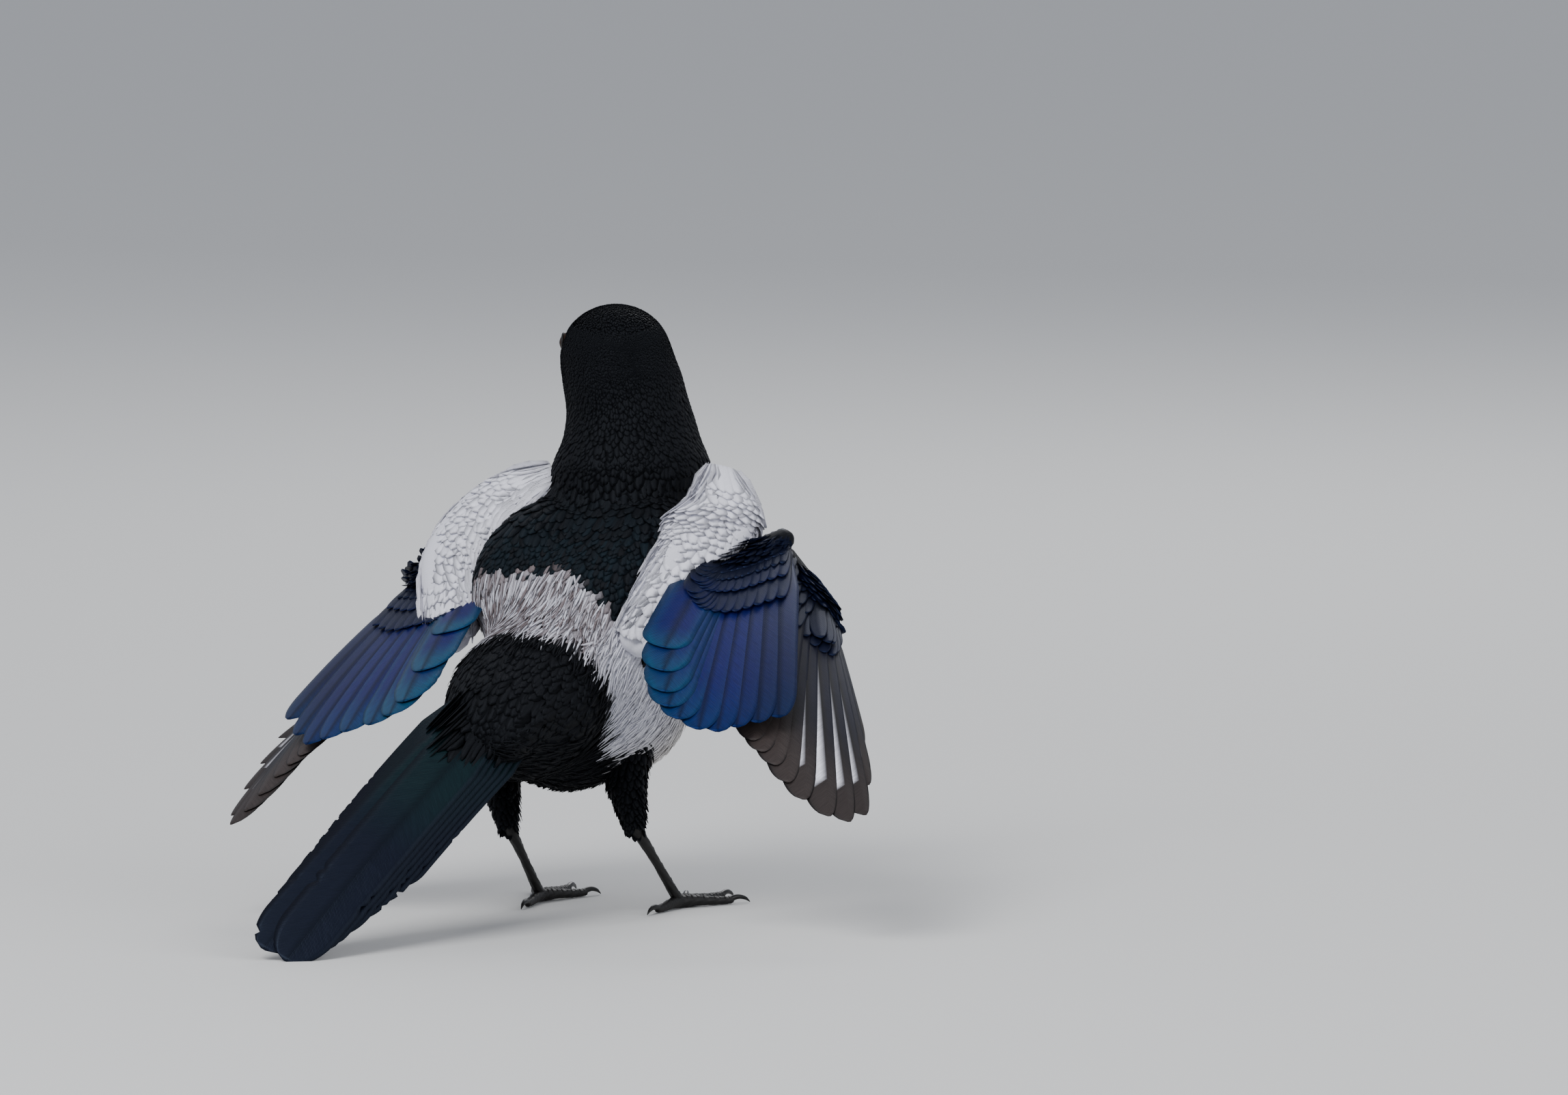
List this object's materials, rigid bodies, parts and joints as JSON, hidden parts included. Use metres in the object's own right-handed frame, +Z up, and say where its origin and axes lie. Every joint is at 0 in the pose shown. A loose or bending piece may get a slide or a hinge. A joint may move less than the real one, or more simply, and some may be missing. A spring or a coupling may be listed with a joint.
{
  "type": "eurasian magpie",
  "caption": "Life-size still model of a standing Eurasian magpie, head up, wings drooped half open and long tail trailing to the floor.",
  "frame": {"origin": "middle of the bounding box, at the floor that the feet and tail tip stand on", "axes": "+Z up, +Y the way the bird roughly looks, away from the picture's camera, +X to the bird's right"},
  "size_m": [0.2617, 0.2865, 0.2403],
  "materials": {
    "black_plumage": "deep black body plumage with a faint blue-green gloss",
    "white_plumage": "clean white scapular plumage, matt",
    "blue_feathers": "glossy deep blue secondaries with teal edges",
    "slate_feathers": "blackish brown primaries with white inner webs",
    "tail_feathers": "glossy blue-black tail with a green sheen at its root",
    "horn": "black horn of bill, scales and claws, half gloss",
    "eye": "very dark brown eye, wet gloss"
  },
  "bodies": {
    "root": {"torso": "black_plumage", "neck": "black_plumage", "head": "black_plumage", "eye_R": "eye", "eye_L": "eye", "bill_upper": "horn", "bill_lower": "horn", "wing_R_forearm": "blue_feathers", "wing_R_hand": "slate_feathers", "wing_R_shoulder": "white_plumage", "wing_L_forearm": "blue_feathers", "wing_L_hand": "slate_feathers", "wing_L_shoulder": "white_plumage", "tail": "tail_feathers", "leg_L": "black_plumage", "tarsus_L": "horn", "foot_L": "horn", "claw_L_1": "horn", "claw_L_2": "horn", "claw_L_3": "horn", "claw_L_4": "horn", "leg_R": "black_plumage", "tarsus_R": "horn", "foot_R": "horn", "claw_R_1": "horn", "claw_R_2": "horn", "claw_R_3": "horn", "claw_R_4": "horn"}
  },
  "joints": []
}
